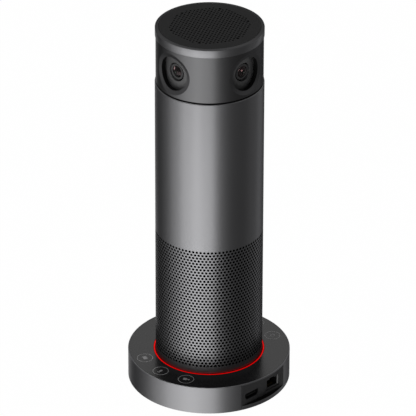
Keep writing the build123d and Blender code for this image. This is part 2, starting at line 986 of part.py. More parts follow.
with BuildPart() as speaker_irons:
    ring(iron_radius, plate_hole, basket_top, magnet_low)
    ring(iron_radius, 0, magnet_top, magnet_top + back_iron)
    ring(pole_radius, 0, basket_top, magnet_top)
keep(speaker_irons, "speaker_irons")

# Sealed box over the loudspeaker, whose step holds the basket down on the deck
with BuildPart() as speaker_box:
    ring(frame_radius, basket_outer + loose_gap, deck_top, flange_level)
    ring(frame_radius, box_step, flange_level, deck_top + box_flange)
    ring(box_outer, box_inner, deck_top + box_flange, box_top)
    ring(box_outer, 0, box_top - box_wall, box_top)
    pins(rod_radius + slip_gap, rod_circle, rod_angles, deck_top, deck_top + box_flange, Mode.SUBTRACT)
    cable_slot(sleeve_inner, deck_top, deck_top + box_flange)
keep(speaker_box, "speaker_box")

# Upper frame: a shelf on the box for the processor board, and pillars up to the neck
with BuildPart() as upper_frame:
    ring(frame_radius, 0, box_top, shelf_top)
    pins(pillar_radius, rod_circle, rod_angles, deck_top + box_flange, boss_low)
    pins(
        rod_radius + slip_gap,
        rod_circle,
        rod_angles,
        deck_top + box_flange,
        boss_low,
        Mode.SUBTRACT,
    )
    cable_slot(sleeve_inner, box_top, shelf_top)
keep(upper_frame, "upper_frame")

# Four long screws that clamp the column between the chassis and the neck
with BuildPart() as tie_rods:
    pins(rod_head_radius, rod_circle, rod_angles, chassis_low - rod_head_height, chassis_low)
    pins(rod_radius, rod_circle, rod_angles, chassis_low, boss_low + thread_depth)
keep(tie_rods, "tie_rods")

# Processor board, standing on the shelf
board_front = board_place + board_thick
chip_front = board_front + chip_thick
sink_low = shelf_top + sink_clear
sink_top = motor_low - sink_clear
board_middle = (shelf_top + board_top) / 2
with BuildPart() as processor_board:
    block((board_place, board_front), (-board_half, board_half), (shelf_top, board_top))
keep(processor_board, "processor_board")

# Chips, capacitors and the two cable plugs of the boards
with BuildPart() as board_parts:
    block(
        (board_front, chip_front),
        (-chip_side / 2, chip_side / 2),
        (board_middle - chip_side / 2, board_middle + chip_side / 2),
    )
    for side in (-1, 1):
        middle = side * (chip_side / 2 + small_chip)
        block(
            (board_front, chip_front),
            (middle - small_chip / 2, middle + small_chip / 2),
            (board_middle - small_chip / 2, board_middle + small_chip / 2),
        )
    with BuildSketch(socket_plane(board_place - capacitor_length)) as capacitor_faces:
        with Locations((0, board_middle)):
            with GridLocations(capacitor_pitch, 0, capacitor_count, 1):
                Circle(capacitor_radius)
    extrude(capacitor_faces.sketch, amount=capacitor_length)
    block(
        (board_place - plug_box_depth, board_place),
        (-plug_box_half, plug_box_half),
        (cable_high - plug_box_height / 2, cable_high + plug_box_height / 2),
    )
    block(
        (port_board_rear, port_board_rear + plug_box_depth),
        (-plug_box_half, plug_box_half),
        (port_board_top, port_board_top + plug_box_height),
    )
keep(board_parts, "board_parts")

# Heat sink of the processor, with upright fins
with BuildPart() as heat_sink:
    block((chip_front, chip_front + sink_base), (-sink_half, sink_half), (sink_low, sink_top))
    fin_step = (2 * sink_half - fin_thick) / (fin_count - 1)
    for number in range(fin_count):
        fin_low = -sink_half + number * fin_step
        fin_span = (fin_low, fin_low + fin_thick)
        block((chip_front, chip_front + sink_reach), fin_span, (sink_low, sink_top))
keep(heat_sink, "heat_sink")

# Neck: closes the column, shows as the dark seam under the head, and carries the drum's drive
with BuildPart() as neck_plate:
    ring(neck_radius, post_bore, neck_low, neck_top)
    ring(neck_radius, collar_inner, neck_top, head_low)
    ring(collar_radius, collar_inner, head_low, collar_top)
    pins(neck_boss_radius, rod_circle, rod_angles, boss_low, neck_low)
    pins(
        rod_radius + thread_gap,
        rod_circle,
        rod_angles,
        boss_low,
        boss_low + thread_depth + slip_gap,
        Mode.SUBTRACT,
    )
    pins(neck_vent_radius, neck_vent_place, neck_vent_angles, neck_low, neck_top, Mode.SUBTRACT)
    pins(motor_boss_radius + slip_gap, gear_centre, (0,), neck_low, neck_top, Mode.SUBTRACT)
keep(neck_plate, "neck_plate")

# Small geared motor under the neck, and its shaft
shaft_low = neck_low - motor_boss_height
with BuildPart() as drum_motor:
    pins(motor_radius, gear_centre, (0,), motor_low, neck_low)
    pins(motor_boss_radius, gear_centre, (0,), neck_low, neck_low + motor_boss_height)
    pins(
        shaft_radius + run_gap,
        gear_centre,
        (0,),
        shaft_low - body_gap,
        neck_low + motor_boss_height,
        Mode.SUBTRACT,
    )
keep(drum_motor, "drum_motor")

with BuildPart() as motor_shaft:
    pins(shaft_radius, gear_centre, (0,), shaft_low, pinion_high)
keep(motor_shaft, "motor_shaft")


def gear_outline(teeth, turn):
    """Points of a gear's outline, with straight-sided teeth and some play between them."""
    pitch = gear_module * teeth / 2
    step = 360 / teeth
    flank = (
        (pitch - gear_module * tooth_foot_depth_share, tooth_foot_share),
        (pitch, tooth_pitch_share),
        (pitch + gear_module, tooth_tip_share),
    )
    points = []
    for tooth in range(teeth):
        middle = turn + tooth * step
        points += [polar(radius, middle - share * step / 2) for radius, share in flank]
        points += [polar(radius, middle + share * step / 2) for radius, share in reversed(flank)]
    return points


# Gear under the drum, and the pinion on the motor's shaft, in mesh
with BuildPart() as drum_gear:
    with BuildSketch(Plane.XY.offset(gear_low)) as gear_face:
        with BuildLine():
            Polyline(*gear_outline(gear_teeth, 0), close=True)
        make_face()
        Circle(gear_bore, mode=Mode.SUBTRACT)
    extrude(amount=gear_thick)
keep(drum_gear, "drum_gear")

with BuildPart() as drive_pinion:
    with BuildSketch(Plane.XY.offset(pinion_low)) as pinion_face:
        with BuildLine():
            outline = gear_outline(pinion_teeth, 180 / pinion_teeth)
            Polyline(*[(gear_centre + x, y) for x, y in outline], close=True)
        make_face()
        with Locations((gear_centre, 0)):
            Circle(shaft_radius + thread_gap, mode=Mode.SUBTRACT)
    extrude(amount=pinion_high - pinion_low)
keep(drive_pinion, "drive_pinion")

# Hollow post on the neck, about which the drum turns
with BuildPart() as head_post:
    turned(
        (post_bore, neck_top),
        (post_flange, neck_top),
        (post_flange, neck_top + post_flange_thick),
        (post_shoulder, neck_top + post_flange_thick),
        (post_shoulder, drum_low - slip_gap),
        (post_radius, drum_low - slip_gap),
        (post_radius, post_top),
        (post_bore, post_top),
    )
keep(head_post, "head_post")

# Lens drum: an open cup with a hub, and a deep round socket for each lens
with BuildPart() as lens_drum:
    ring(drum_radius, drum_radius - drum_wall, drum_low, drum_top)
    ring(drum_radius, bush_radius + thread_gap, drum_low, drum_low + drum_floor)
    ring(hub_radius, bush_radius + thread_gap, drum_low, drum_low + hub_height)
    for angle in lens_angles:
        lens_disc(angle, groove_radius + socket_wall, socket_rear, lens_face - lens_set_back)
    for angle in lens_angles:
        lens_disc(angle, groove_radius, socket_face, drum_radius + cut_over, Mode.SUBTRACT)
        lens_disc(angle, barrel_tail + slip_gap, socket_rear - cut_over, socket_face, Mode.SUBTRACT)
keep(lens_drum, "lens_drum")

with BuildPart() as drum_bush:
    ring(bush_radius, post_radius + run_gap, drum_low, drum_low + hub_height)
keep(drum_bush, "drum_bush")

# One lens barrel, its domed front glass and its rear glass, looking along +X
with BuildPart() as barrel:
    lens_disc(0, groove_radius - slip_gap, socket_face, flange_face)
    lens_disc(0, lens_ring, flange_face, lens_face)
    lens_disc(0, barrel_tail, tail_end, socket_face)
    lens_disc(0, core_radius, tail_end - cut_over, lens_face + cut_over, Mode.SUBTRACT)
    lens_disc(0, glass_radius, lens_face - glass_thick, lens_face + cut_over, Mode.SUBTRACT)

with BuildPart() as front_glass:
    glass_edge = glass_radius - thread_gap
    glass_tip = drum_radius + glass_proud
    dome_depth = glass_tip - lens_face
    dome_radius = (glass_edge**2 + dome_depth**2) / (2 * dome_depth)
    with BuildSketch(Plane.XZ) as glass_profile:
        with BuildLine():
            edge = Polyline(
                (glass_tip, lens_z),
                (lens_face - glass_thick, lens_z),
                (lens_face - glass_thick, lens_z + glass_edge),
                (lens_face, lens_z + glass_edge),
            )
            RadiusArc(edge @ 1, edge @ 0, dome_radius)
        make_face()
    revolve(glass_profile.sketch, axis=Axis((0, 0, lens_z), (1, 0, 0)))

for angle, name in zip(lens_angles, lens_names):
    with BuildPart() as lens_barrel:
        add(barrel.part, rotation=(0, 0, angle))
    keep(lens_barrel, f"lens_barrel_{name}")

with BuildPart() as lens_front_glasses:
    for angle in lens_angles:
        add(front_glass.part, rotation=(0, 0, angle))
keep(lens_front_glasses, "lens_front_glasses")

with BuildPart() as lens_rear_glasses:
    rear_glass = lens_face - rear_glass_place
    for angle in lens_angles:
        lens_disc(angle, core_radius - thread_gap, rear_glass, rear_glass + rear_glass_thick)
keep(lens_rear_glasses, "lens_rear_glasses")

# Image sensor boards, one against the tail of each barrel
with BuildPart() as sensor_boards:
    for angle in lens_angles:
        with BuildSketch(lens_plane(angle, tail_end - sensor_thick)) as sensor_face:
            Rectangle(sensor_side, sensor_side)
        extrude(sensor_face.sketch, amount=sensor_thick)
keep(sensor_boards, "sensor_boards")

# Black liner between the drum and the shell, with a round window for each lens
with BuildPart() as drum_liner:
    ring(liner_radius, liner_inner, collar_top, carrier_low)
    for angle in lens_angles:
        lens_disc(angle, window_radius, lens_face, head_radius + cut_over, Mode.SUBTRACT)
keep(drum_liner, "drum_liner")

# Shell of the head, whose windows widen outward in a bevel that follows the curve
with BuildPart() as head_shell:
    ring(head_radius, head_inner, head_low, head_top)
    for angle in lens_angles:
        lens_disc(angle, window_radius, lens_face, head_radius + cut_over, Mode.SUBTRACT)
    outer_face = head_shell.faces().filter_by(GeomType.CYLINDER).sort_by(SortBy.AREA)[-1]
    window_edges = [edge for edge in outer_face.edges() if edge.geom_type == GeomType.BSPLINE]
    chamfer(window_edges, window_bevel, window_bevel_depth, reference=outer_face)
keep(head_shell, "head_shell")

# Carrier of the microphones: closes the head's top round the post
with BuildPart() as mic_carrier:
    ring(liner_radius, post_radius + thread_gap, carrier_low, head_top)
    carrier_outer = cap_inner - slip_gap
    ring(carrier_outer, carrier_outer - carrier_collar_wall, head_top, head_top + carrier_collar)
    pins(
        standoff_radius,
        (mic_board_inner + mic_board_outer) / 2,
        [angle + 30 for angle in mic_angles],
        head_top,
        mic_board_low,
    )
    with BuildSketch(Plane.XY.offset(carrier_low)) as vent_face:
        with PolarLocations(carrier_vent_place, carrier_vent_count):
            Circle(carrier_vent_radius)
    extrude(vent_face.sketch, amount=carrier_thick, mode=Mode.SUBTRACT)
keep(mic_carrier, "mic_carrier")

# Microphone board, six microphones and the rubber tubes up to the grille
with BuildPart() as mic_board:
    ring(mic_board_outer, mic_board_inner, mic_board_low, mic_low)
keep(mic_board, "mic_board")

with BuildPart() as microphones:
    with BuildSketch(Plane.XY.offset(mic_low)) as mic_faces:
        with PolarLocations(mic_circle, len(mic_angles)):
            Rectangle(mic_width, mic_length)
    extrude(amount=mic_height)
keep(microphones, "microphones")

with BuildPart() as mic_gaskets:
    pins(gasket_radius, mic_circle, mic_angles, gasket_low, grille_low)
    pins(mic_port, mic_circle, mic_angles, gasket_low, grille_low, Mode.SUBTRACT)
keep(mic_gaskets, "mic_gaskets")

# Cloth under the outer holes of the grille
with BuildPart() as grille_cloth:
    ring(ledge_inner - loose_gap, cloth_hole, grille_low - cloth_disc_thick, grille_low)
    pins(
        gasket_radius + slip_gap,
        mic_circle,
        mic_angles,
        grille_low - cloth_disc_thick,
        grille_low,
        Mode.SUBTRACT,
    )
keep(grille_cloth, "grille_cloth")

# Cap band, with a rim that slopes up to the grille and a ledge that carries it
with BuildPart() as cap_ring:
    turned(
        (cap_inner, head_top),
        (cap_radius, head_top),
        (cap_radius, rim_low),
        (rim_inner, rim_high),
        (rim_inner, grille_low),
        (ledge_inner, grille_low),
        (ledge_inner, ledge_low),
        (cap_inner, ledge_low),
    )
keep(cap_ring, "cap_ring")

# Grille: a round plate with a hexagonal grid of holes, wider at the six microphones
row_rise = hole_pitch * sqrt(3) / 2
grid_points = []
for row in range(-hole_rows - 1, hole_rows + 2):
    for column in range(-2 * hole_rows, 2 * hole_rows + 1):
        grid_points.append(((column + row / 2) * hole_pitch, row * row_rise))
mic_points = [polar(mic_circle, angle) for angle in mic_angles]


def is_plain(point):
    """True for a grid point inside the holed zone that is not a microphone's."""
    inside = sqrt(point[0] ** 2 + point[1] ** 2) <= hole_zone
    spans = [sqrt((point[0] - x) ** 2 + (point[1] - y) ** 2) for x, y in mic_points]
    return inside and min(spans) > hole_pitch / 2


with BuildPart() as top_grille:
    with BuildSketch(Plane.XY.offset(grille_low)) as grille_face:
        Circle(grille_radius)
        with Locations(*[point for point in grid_points if is_plain(point)]):
            Circle(hole_radius, mode=Mode.SUBTRACT)
        with Locations(*mic_points):
            Circle(mic_port, mode=Mode.SUBTRACT)
    extrude(amount=grille_thick)
keep(top_grille, "top_grille")
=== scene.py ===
"""Looks of the 360 degree conference camera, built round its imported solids."""
import json
from math import cos, pi, radians, sin

import bpy
from mathutils import Matrix, Vector


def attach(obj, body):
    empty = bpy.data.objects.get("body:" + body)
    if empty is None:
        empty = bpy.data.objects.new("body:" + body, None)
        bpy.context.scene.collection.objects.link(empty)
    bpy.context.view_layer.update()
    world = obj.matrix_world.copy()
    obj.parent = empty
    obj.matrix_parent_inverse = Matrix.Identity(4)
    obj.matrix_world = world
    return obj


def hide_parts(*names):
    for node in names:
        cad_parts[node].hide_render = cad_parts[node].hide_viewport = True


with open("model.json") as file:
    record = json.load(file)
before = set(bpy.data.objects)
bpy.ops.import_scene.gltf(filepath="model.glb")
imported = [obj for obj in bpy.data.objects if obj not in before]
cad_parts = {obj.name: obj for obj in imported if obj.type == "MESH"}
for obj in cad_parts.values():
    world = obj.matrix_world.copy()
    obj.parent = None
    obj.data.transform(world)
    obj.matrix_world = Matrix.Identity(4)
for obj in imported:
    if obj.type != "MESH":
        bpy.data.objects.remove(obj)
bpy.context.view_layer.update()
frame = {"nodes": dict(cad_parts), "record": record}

bl_info = {
    "name": "Conference camera looks",
    "version": (1, 0, 0),
    "blender": (4, 5, 0),
    "location": "3D View > Sidebar > Camera",
    "description": "Builds the visible pieces, finishes and stage of a 360 degree conference camera",
    "category": "Object",
}

MM = 0.001

# Places and sizes that follow the solids
LIGHT_MIDDLE = 45.1 * MM
LENS_HEIGHT = 293.2 * MM
GLASS_EDGE = 5.2 * MM
SLEEVE_RADIUS = 44.0 * MM
SLEEVE_WALL = 1.2 * MM
SLEEVE_LOW = 20.8 * MM
SLEEVE_HIGH = 272.5 * MM
PORT_FACE = 62.4 * MM
RECESS_DEEP = 2.5 * MM
RECESS_HALF_WIDE = 25 * MM
RECESS_HIGH = 23.7 * MM
SILL_HIGH = 4.4 * MM
# Width and depth of the shield's edge that gets the painted highlight
SHIELD_EDGE_WIDE = 1.6 * MM
SHIELD_EDGE_DEEP = 1.5 * MM
# Height above which the cap ring's sloping rim gets painted shade
RIM_LOW = 320.5 * MM
# Profiles of turned rings, as radius and height in millimetres
TURNED_RINGS = {
    "cap_ring": (
        (41.3, 313.8), (43.8, 313.8), (43.8, 320.6), (41.05, 321.2), (41.05, 320.0),
        (39.3, 320.0), (39.3, 318.9), (41.3, 318.9)),
    "light_ring": (
        (44.1, 23.0), (48.5, 23.0), (48.5, 24.0), (45.9, 24.0), (45.9, 25.0), (44.1, 25.0)),
    "foot_pad": ((54.0, 0.0), (62.0, 0.0), (62.0, 2.0), (54.0, 2.0)),
}

# Details that only the looks have
FIRST_HOLE = radians(1.95)
PRINT_LIFT = 0.03 * MM
SLEEVE_ROUND = 0.6 * MM
FOOT_ROUND = 0.5 * MM
ROUND_STEPS = 144
GLOW_FULL = 0.22 * MM
GLOW_END = 0.52 * MM
GLOW_REST = 0.12
GRAIN_BUMP = 0.35
THREAD_BUMP = 0.5
THREAD_RISE = 0.1 * MM
GLASS_TINT = (1.0, 0.74, 0.76, 1)
METAL_TINT = (0.3, 0.3, 0.3, 1)

# Reaches within which points count as one, or as level, in metres
MERGE = 1e-6
LEVEL = 1e-6
NEAR_WALL = 0.01 * MM
# Walls narrower than this, or further off the upright, keep the normals of their smoothing
WALL_LEAST = 30 * MM
WALL_UPRIGHT = 0.995
FACE_FLAT = 0.9999
FACETED = ("head_shell", "drum_liner", "lens_drum")

# Soft upright panels round the object: angle from the view to the right, and power
SOFT_PANELS = (
    (-100, 0.5), (-75, 3.0), (-50, 7.5), (-25, 10.0), (0, 8.0), (25, 0.5), (100, 0.5),
    (130, 3.0), (155, 0.5), (180, 6.0), (-155, 5.0),
)
PANEL_HEIGHT, PANEL_WIDE, PANEL_LONG = -0.55, 0.65, 1.5
# Small lamps that put a glint in the lens glasses and light nothing else: angle, height, power
GLINTS = ((-112, 0.27, 7.0), (54, 0.45, 12.0))
GLINT_SIZE, GLINT_COLOUR = 0.5, (1.0, 0.72, 0.72)
LIGHT_DISTANCE = 1.6
# Lamp above: angle, height, distance, width, length, power
TOP_LIGHT = (-60, 2.0, 0.8, 0.9, 0.9, 8)
# Share of white that gloss sees in each direction, and the level of the room's light
GLOSS_ABOVE, GLOSS_FRONT, GLOSS_BELOW, ROOM_LEVEL = 0.64, 0.3, 0.13, 0.13
HORIZON = 0.02
FLOOR_SIZE, FLOOR_PALE, FLOOR_WHITE, FLOOR_GLOSS = 30, 0.7, 0.995, 0.3
VIEW_RISE, VIEW_TURN, VIEW_ROLL = radians(28.764), radians(-45), radians(0.1453)
VIEW_LENS, VIEW_SHIFT, VIEW_END = 390.15, (-0.0031, 0.0022), 60

# Rings and glint painted into the lens glass's colour: grey rings as painted reflections of the lens
# edges behind it, a greenish painted glint at the middle; share of the glass's radius, and colour
# there
PAINTED_GLASS_RINGS_AND_GLINT = (
    (0.0, (0.05, 0.075, 0.06)), (0.14, (0.012, 0.02, 0.016)), (0.2, (0.002, 0.003, 0.003)),
    (0.4, (0.002, 0.002, 0.002)), (0.44, (0.035, 0.034, 0.034)), (0.49, (0.003, 0.003, 0.003)),
    (0.64, (0.002, 0.002, 0.002)), (0.68, (0.03, 0.03, 0.03)), (0.73, (0.003, 0.003, 0.003)),
    (1.0, (0.006, 0.006, 0.006)),
)


class CameraSizes(bpy.types.PropertyGroup):
    """Sizes of the visible pieces that the solids leave plain"""

    hole_radius: bpy.props.FloatProperty(
        name="Sound hole radius", description="Radius of the column's sound holes",
        default=1.1 * MM, unit="LENGTH")
    hole_columns: bpy.props.IntProperty(
        name="Sound hole columns", description="Sound holes in one row round the column", default=90)
    hole_rows: bpy.props.IntProperty(
        name="Sound hole rows", description="Rows of sound holes", default=41)
    row_step: bpy.props.FloatProperty(
        name="Row step", description="Height from one row of sound holes to the next",
        default=2.645 * MM, unit="LENGTH")
    top_row: bpy.props.FloatProperty(
        name="Top row", description="Height of the uppermost row of sound holes",
        default=137.9 * MM, unit="LENGTH")
    edge_round: bpy.props.FloatProperty(
        name="Edge round", description="Radius of the small rounds on turned edges",
        default=0.25 * MM, unit="LENGTH")
    view_distance: bpy.props.FloatProperty(
        name="View distance", description="Distance of the view from the object",
        default=3.6666, unit="LENGTH")
    view_height: bpy.props.FloatProperty(
        name="View height", description="Height of the point that the view is aimed at",
        default=0.1548, unit="LENGTH")


class CameraColours(bpy.types.PropertyGroup):
    """Colours of the finishes"""

    body: bpy.props.FloatVectorProperty(
        name="Body", description="Metal of the column, base and cap", subtype="COLOR",
        default=(0.17, 0.17, 0.175))
    head: bpy.props.FloatVectorProperty(
        name="Head", description="Metal of the head's shell", subtype="COLOR",
        default=(0.088, 0.088, 0.09))
    plate: bpy.props.FloatVectorProperty(
        name="Touch plate", description="Dark plate with the touch keys", subtype="COLOR",
        default=(0.006, 0.006, 0.0064))
    print_grey: bpy.props.FloatVectorProperty(
        name="Key print", description="Print of the touch keys", subtype="COLOR",
        default=(0.4, 0.4, 0.405))
    light: bpy.props.FloatVectorProperty(
        name="Light ring", description="Light of the ring round the column's foot",
        subtype="COLOR", default=(0.72, 0.0, 0.0))
    grille: bpy.props.FloatVectorProperty(
        name="Grille", description="Dark plate over the microphones", subtype="COLOR",
        default=(0.013, 0.013, 0.0135))


def sizes():
    """Sizes set in the sidebar."""
    return bpy.context.scene.camera_sizes


def colours():
    """Colours set in the sidebar."""
    return bpy.context.scene.camera_colours


# Finishes


def new_finish(name, colour, rough, metal=0.0, **sockets):
    """Starts a material and returns it with its shader, and a maker of linked nodes."""
    finish = bpy.data.materials.new(name)
    finish.use_nodes = True
    tree = finish.node_tree
    shader = tree.nodes["Principled BSDF"]
    shader.inputs["Base Color"].default_value = (*colour, 1)
    shader.inputs["Roughness"].default_value = rough
    shader.inputs["Metallic"].default_value = metal
    for socket, value in sockets.items():
        shader.inputs[socket.replace("_", " ")].default_value = value

    def add(kind, inputs=None, **settings):
        """Adds a node, sets it up, and links or fills its inputs."""
        node = tree.nodes.new(kind)
        for key, value in settings.items():
            setattr(node, key, value)
        for key, value in (inputs or {}).items():
            if isinstance(value, bpy.types.NodeSocket):
                tree.links.new(value, node.inputs[key])
            else:
                node.inputs[key].default_value = value
        return node

    return finish, shader, add


def spread(add, pattern, low, high):
    """Turns a pattern from 0 to 1 into a range of values."""
    ramp = add("ShaderNodeMapRange", {"Value": pattern, "To Min": low, "To Max": high})
    return ramp.outputs["Result"]


def tinted(add, pattern, colour, low, high):
    """Colour that varies in brightness with a pattern."""
    shades = [tuple(min(1, share * part) for part in colour) for share in (low, high)]
    mix = add("ShaderNodeMix", data_type="RGBA")
    mix.id_data.links.new(pattern, mix.inputs[0])
    mix.inputs[6].default_value = (*shades[0], 1)
    mix.inputs[7].default_value = (*shades[1], 1)
    return mix.outputs[2]


def finish_with(name, colour, rough, metal=0.0, grain=900, grain_height=0.02, wear=40,
                rough_change=0.06, shade_change=0.08, stretch=(1, 1, 1), **sockets):
    """Finish with a fine grain, a slow change of gloss and shade, and a small bump."""
    finish, shader, add = new_finish(name, colour, rough, metal, **sockets)
    tree = finish.node_tree
    place = add("ShaderNodeTexCoord").outputs["Object"]
    drawn = add("ShaderNodeMapping", {"Vector": place, "Scale": stretch}).outputs["Vector"]
    fine, slow = [
        add("ShaderNodeTexNoise", {"Vector": at, "Scale": scale, "Detail": detail}).outputs["Fac"]
        for at, scale, detail in ((drawn, grain, 3.0), (place, wear, 2.0))
    ]
    both = add("ShaderNodeMath", {0: fine, 1: slow}, operation="ADD")
    half = add("ShaderNodeMath", {0: both.outputs[0], 1: 0.5}, operation="MULTIPLY").outputs[0]
    gloss = spread(add, half, rough - rough_change, rough + rough_change)
    tree.links.new(gloss, shader.inputs["Roughness"])
    shade = tinted(add, half, colour, 1 - shade_change, 1 + shade_change)
    tree.links.new(shade, shader.inputs["Base Color"])
    bump = add("ShaderNodeBump", {
        "Height": fine, "Strength": GRAIN_BUMP, "Distance": grain_height * MM})
    tree.links.new(bump.outputs["Normal"], shader.inputs["Normal"])
    return finish


def cloth_finish(name, colour, thread):
    """Open weave of fine threads."""
    finish, shader, add = new_finish(name, colour, 0.9, Specular_IOR_Level=0.1)
    tree = finish.node_tree
    place = add("ShaderNodeTexCoord").outputs["Object"]
    waves = [
        add("ShaderNodeTexWave", {"Vector": place, "Scale": thread, "Distortion": 0.4},
            bands_direction=way).outputs["Fac"]
        for way in ("DIAGONAL", "Z")
    ]
    weave = add("ShaderNodeMath", {0: waves[0], 1: waves[1]}, operation="MULTIPLY").outputs[0]
    tree.links.new(tinted(add, weave, colour, 0.5, 1.5), shader.inputs["Base Color"])
    bump = add("ShaderNodeBump", {
        "Height": weave, "Strength": THREAD_BUMP, "Distance": THREAD_RISE})
    tree.links.new(bump.outputs["Normal"], shader.inputs["Normal"])
    return finish


def light_finish(name, colour):
    """Glowing light guide, brightest along its middle."""
    finish, shader, add = new_finish(name, colour, 0.5, Specular_IOR_Level=0.08)
    tree = finish.node_tree
    place = add("ShaderNodeTexCoord").outputs["Object"]
    flat = add("ShaderNodeVectorMath", {0: place, 1: (1, 1, 0)}, operation="MULTIPLY").outputs[0]
    reach = add("ShaderNodeVectorMath", {0: flat}, operation="LENGTH").outputs["Value"]
    off = add("ShaderNodeMath", {0: reach, 1: LIGHT_MIDDLE}, operation="SUBTRACT").outputs[0]
    side = add("ShaderNodeMath", {0: off}, operation="ABSOLUTE").outputs[0]
    fade = add("ShaderNodeMapRange", {
        "Value": side, "From Min": GLOW_FULL, "From Max": GLOW_END, "To Min": 1.0, "To Max": 0.0})
    glow = tinted(add, fade.outputs["Result"], colour, GLOW_REST, 1.0)
    tree.links.new(glow, shader.inputs["Base Color"])
    tree.links.new(glow, shader.inputs["Emission Color"])
    shader.inputs["Emission Strength"].default_value = 1.0
    return finish


def lens_reach(add):
    """Distance of a point from the axis of the lens that it belongs to."""
    place = add("ShaderNodeTexCoord").outputs["Object"]
    part = add("ShaderNodeSeparateXYZ", {"Vector": place}).outputs
    flat = [
        add("ShaderNodeMath", {0: part[axis]}, operation="ABSOLUTE").outputs[0]
        for axis in ("X", "Y")
    ]
    side = add("ShaderNodeMath", {0: flat[0], 1: flat[1]}, operation="MINIMUM").outputs[0]
    rise = add("ShaderNodeMath", {0: part["Z"], 1: LENS_HEIGHT}, operation="SUBTRACT").outputs[0]
    both = add("ShaderNodeCombineXYZ", {"X": side, "Y": rise}).outputs["Vector"]
    return add("ShaderNodeVectorMath", {0: both}, operation="LENGTH").outputs["Value"]


def glass_finish(name, rings):
    """Coated lens glass: near black, with the edges of what lies behind it painted on as grey rings
    of reflected light, and a painted glint at its middle.
    """
    finish, shader, add = new_finish(
        name, rings[0][1], 0.04, Specular_IOR_Level=0.18, Specular_Tint=GLASS_TINT)
    tree = finish.node_tree
    reach = lens_reach(add)
    share = add("ShaderNodeMath", {0: reach, 1: GLASS_EDGE}, operation="DIVIDE").outputs[0]
    ramp = add("ShaderNodeValToRGB", {"Fac": share})
    stops = ramp.color_ramp.elements
    while len(stops) < len(rings):
        stops.new(1.0)
    for stop, (place, colour) in zip(stops, rings):
        stop.position = place
        stop.color = (*colour, 1)
    # The ramp paints the rings and the middle glint into the base colour
    tree.links.new(ramp.outputs["Color"], shader.inputs["Base Color"])
    return finish


FINISHES = {}


def make_finishes():
    """Makes every finish once."""
    tone = colours()
    FINISHES.update({
        "body": finish_with("satin_metal", tone.body, 0.37, 1.0, grain=1400, grain_height=0.004,
                            wear=25, rough_change=0.02, shade_change=0.04,
                            Specular_Tint=METAL_TINT),
        "head": finish_with("dark_satin_metal", tone.head, 0.38, 1.0, grain=1400,
                            grain_height=0.004, wear=25, rough_change=0.02, shade_change=0.04,
                            Specular_Tint=METAL_TINT),
        "plate": finish_with("touch_plate", tone.plate, 0.26, 0.0, grain=700, grain_height=0.002,
                             wear=30, rough_change=0.04, Specular_IOR_Level=0.6),
        "print": finish_with("key_print", tone.print_grey, 0.27, 0.0, grain=2500,
                             Specular_IOR_Level=1.0),
        "light": light_finish("red_light", tone.light),
        "grille": finish_with("grille_plate", tone.grille, 0.45, 0.0, grain=1500,
                              Specular_IOR_Level=0.07),
        "cloth": cloth_finish("acoustic_cloth", (0.004, 0.004, 0.004), 900),
        "mic_cloth": cloth_finish("microphone_cloth", (0.035, 0.035, 0.035), 1200),
        # Near black for the walls of the sound holes: painted shade inside the holes, not the
        # metal's own colour
        "hole_wall": finish_with("hole_wall", (0.003, 0.003, 0.003), 0.7, grain=1500,
                                 Specular_IOR_Level=0.1),
        "liner": finish_with("liner_black", (0.0035, 0.0035, 0.0035), 0.6, grain=1100,
                             Specular_IOR_Level=0.12),
        "drum": finish_with("drum_paint", (0.085, 0.085, 0.086), 0.45, grain=1300),
        "barrel": finish_with("barrel_black", (0.035, 0.035, 0.036), 0.35, grain=1500),
        "black": finish_with("black_plastic", (0.012, 0.012, 0.012), 0.5, grain=1200),
        "soft_black": finish_with("matt_black_plastic", (0.018, 0.018, 0.019), 0.62, grain=1000),
        "rubber": finish_with("foot_rubber", (0.02, 0.02, 0.02), 0.8, grain=1500,
                              grain_height=0.05),
        "steel": finish_with("plated_steel", (0.5, 0.5, 0.51), 0.32, 1.0, grain=900),
        "dark_steel": finish_with("blackened_steel", (0.06, 0.06, 0.062), 0.5, 0.8, grain=500,
                                  grain_height=0.05),
        # Bright plated finish used only as the painted highlight on the network shield's edge
        "shell": finish_with("plated_shell", (0.42, 0.42, 0.42), 0.28, 1.0, grain=1500),
        "dark_shell": finish_with("blackened_shell", (0.004, 0.004, 0.004), 0.5, 0.0, grain=1500,
                                  Specular_IOR_Level=0.15),
        "gold": finish_with("gold_contact", (0.75, 0.55, 0.2), 0.25, 1.0, grain=2000),
        "copper": finish_with("copper_wire", (0.6, 0.27, 0.13), 0.35, 1.0, grain=600,
                              stretch=(0.1, 0.1, 6)),
        "brass": finish_with("brass_bush", (0.65, 0.5, 0.22), 0.3, 1.0, grain=700),
        "aluminium": finish_with("plain_aluminium", (0.62, 0.62, 0.63), 0.38, 1.0, grain=800,
                                 stretch=(4, 4, 0.3)),
        "board": finish_with("circuit_board", (0.01, 0.06, 0.03), 0.4, grain=350,
                             shade_change=0.5),
        "chip": finish_with("chip_body", (0.02, 0.02, 0.021), 0.55, grain=1800),
        "lamp": finish_with("lamp_body", (0.7, 0.66, 0.5), 0.4, grain=1500),
        "nylon": finish_with("natural_nylon", (0.62, 0.6, 0.54), 0.45, grain=600,
                             Subsurface_Weight=0.1),
        "paper": finish_with("cone_paper", (0.03, 0.03, 0.03), 0.85, grain=700, grain_height=0.1),
        "ferrite": finish_with("ferrite", (0.05, 0.05, 0.052), 0.6, 0.2, grain=500),
        "cable": finish_with("flat_cable", (0.25, 0.25, 0.26), 0.45, grain=300,
                             stretch=(1, 12, 1), shade_change=0.3),
        # Lens glass with painted rings and a painted glint at its middle
        "glass": glass_finish("coated_glass", PAINTED_GLASS_RINGS_AND_GLINT),
    })


